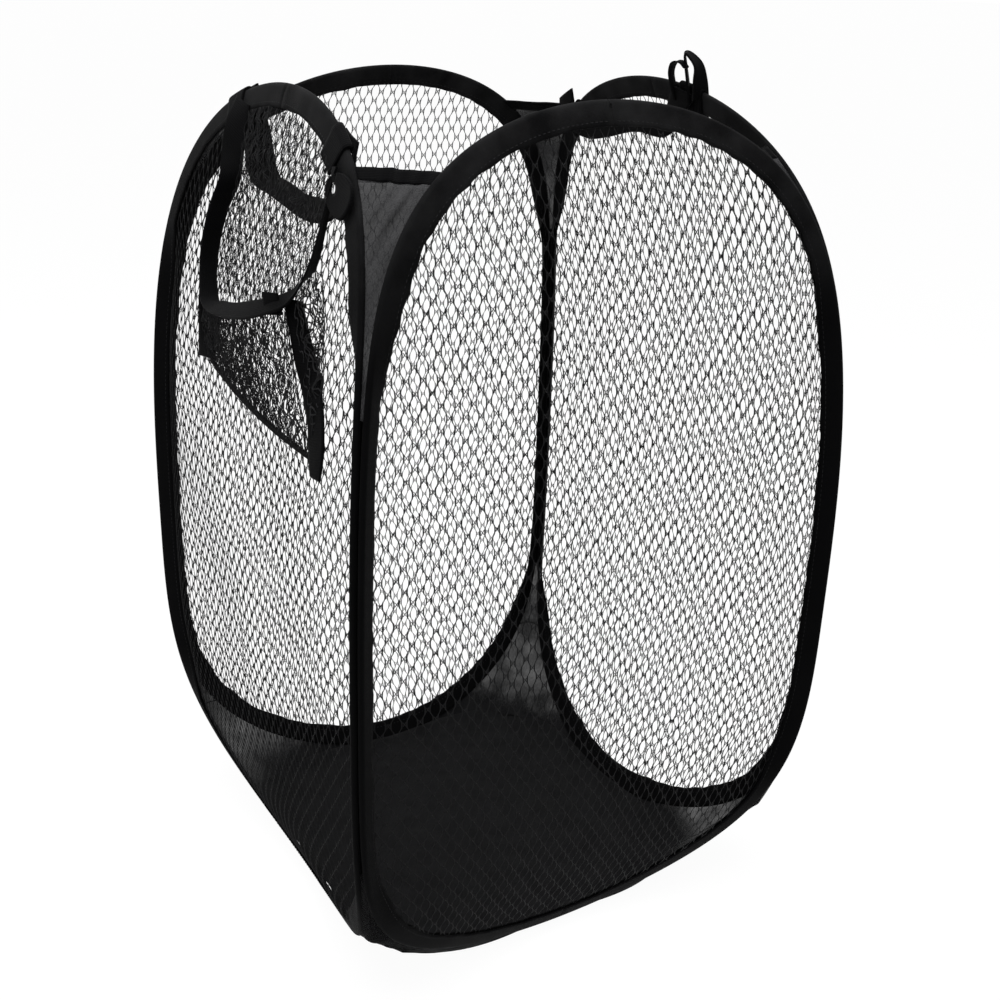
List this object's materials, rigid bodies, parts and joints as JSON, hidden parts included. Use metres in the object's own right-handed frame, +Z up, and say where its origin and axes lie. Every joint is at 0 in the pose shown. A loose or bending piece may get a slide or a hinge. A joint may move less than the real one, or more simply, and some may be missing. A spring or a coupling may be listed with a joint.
{
  "type": "pop up laundry hamper",
  "caption": "Square standing laundry hamper of mesh panels edged with sprung hoops, with a cloth floor, corner gussets, webbing handles and an outside net pocket.",
  "frame": {"origin": "middle of the base, on the ground", "axes": "+Z up, the front panel faces -Y and the panel with the pocket faces -X"},
  "size_m": [0.3746, 0.3592, 0.5655],
  "materials": {
    "binding_tape": "matte",
    "webbing": "matte",
    "cloth": "matte",
    "sheer_cloth": "matte",
    "net": "matte",
    "spring_steel": "satin"
  },
  "bodies": {
    "left_panel": {"left_hoop_wire": "spring_steel", "left_crimp_sleeve": "spring_steel", "left_edge_binding": "binding_tape", "left_mesh_panel": "net", "front_left_top_gusset": "sheer_cloth", "front_left_top_gusset_hem": "binding_tape", "front_left_base_gusset": "cloth", "back_left_top_gusset": "sheer_cloth", "back_left_top_gusset_hem": "binding_tape", "back_left_base_gusset": "cloth", "floor_cloth": "cloth", "left_handle_back_tab": "webbing", "left_handle_front_tab": "webbing", "pocket_front_net": "net", "pocket_mouth_tape": "binding_tape", "pocket_bottom_tape": "binding_tape", "pocket_back_side": "net", "pocket_front_side": "net", "pocket_back_tail": "binding_tape", "pocket_front_tail": "binding_tape"},
    "front_panel": {"front_hoop_wire": "spring_steel", "front_crimp_sleeve": "spring_steel", "front_edge_binding": "binding_tape", "front_mesh_panel": "net", "front_right_top_gusset": "sheer_cloth", "front_right_top_gusset_hem": "binding_tape", "front_right_base_gusset": "cloth"},
    "back_panel": {"back_hoop_wire": "spring_steel", "back_crimp_sleeve": "spring_steel", "back_edge_binding": "binding_tape", "back_mesh_panel": "net", "back_right_top_gusset": "sheer_cloth", "back_right_top_gusset_hem": "binding_tape", "back_right_base_gusset": "cloth"},
    "right_panel": {"right_hoop_wire": "spring_steel", "right_crimp_sleeve": "spring_steel", "right_edge_binding": "binding_tape", "right_mesh_panel": "net", "right_handle_front_tab": "webbing", "right_handle_back_tab": "webbing"},
    "left_handle": {"left_handle_strap": "webbing"},
    "right_handle": {"right_handle_strap": "webbing"}
  },
  "joints": [
    {"name": "front_seam_fold", "type": "hinge", "parent": "left_panel", "child": "front_panel", "pos_m": [-0.158, -0.158, 0], "axis": [0, 0, 1], "range_deg": [0, 45], "stiffness_Nm_per_rad": 0.25, "deforming": ["front_left_top_gusset", "front_left_top_gusset_hem", "front_left_base_gusset", "front_right_top_gusset", "front_right_top_gusset_hem", "front_right_base_gusset", "floor_cloth"]},
    {"name": "back_seam_fold", "type": "hinge", "parent": "left_panel", "child": "back_panel", "pos_m": [-0.1799, 0.1799, 0], "axis": [0, 0, 1], "range_deg": [0, 45], "deforming": ["back_left_top_gusset", "back_left_top_gusset_hem", "back_left_base_gusset"]},
    {"name": "right_seam_fold", "type": "hinge", "parent": "back_panel", "child": "right_panel", "pos_m": [0.158, 0.158, 0], "axis": [0, 0, 1], "range_deg": [-45, 0], "deforming": ["back_right_top_gusset", "back_right_top_gusset_hem", "back_right_base_gusset"]},
    {"name": "left_handle_swing", "type": "hinge", "parent": "left_panel", "child": "left_handle", "pos_m": [-0.13295, -0.01355, 0.55316], "axis": [-0.0253, -0.9972, -0.0709], "range_deg": [0, 160]},
    {"name": "right_handle_swing", "type": "hinge", "parent": "right_panel", "child": "right_handle", "pos_m": [0.13409, 0.03442, 0.54942], "axis": [0.0633, 0.9814, -0.1813], "range_deg": [0, 160]}
  ],
  "couplings": [
    {"joint": "back_seam_fold", "follows": "front_seam_fold", "ratio": 1},
    {"joint": "right_seam_fold", "follows": "front_seam_fold", "ratio": -1}
  ]
}
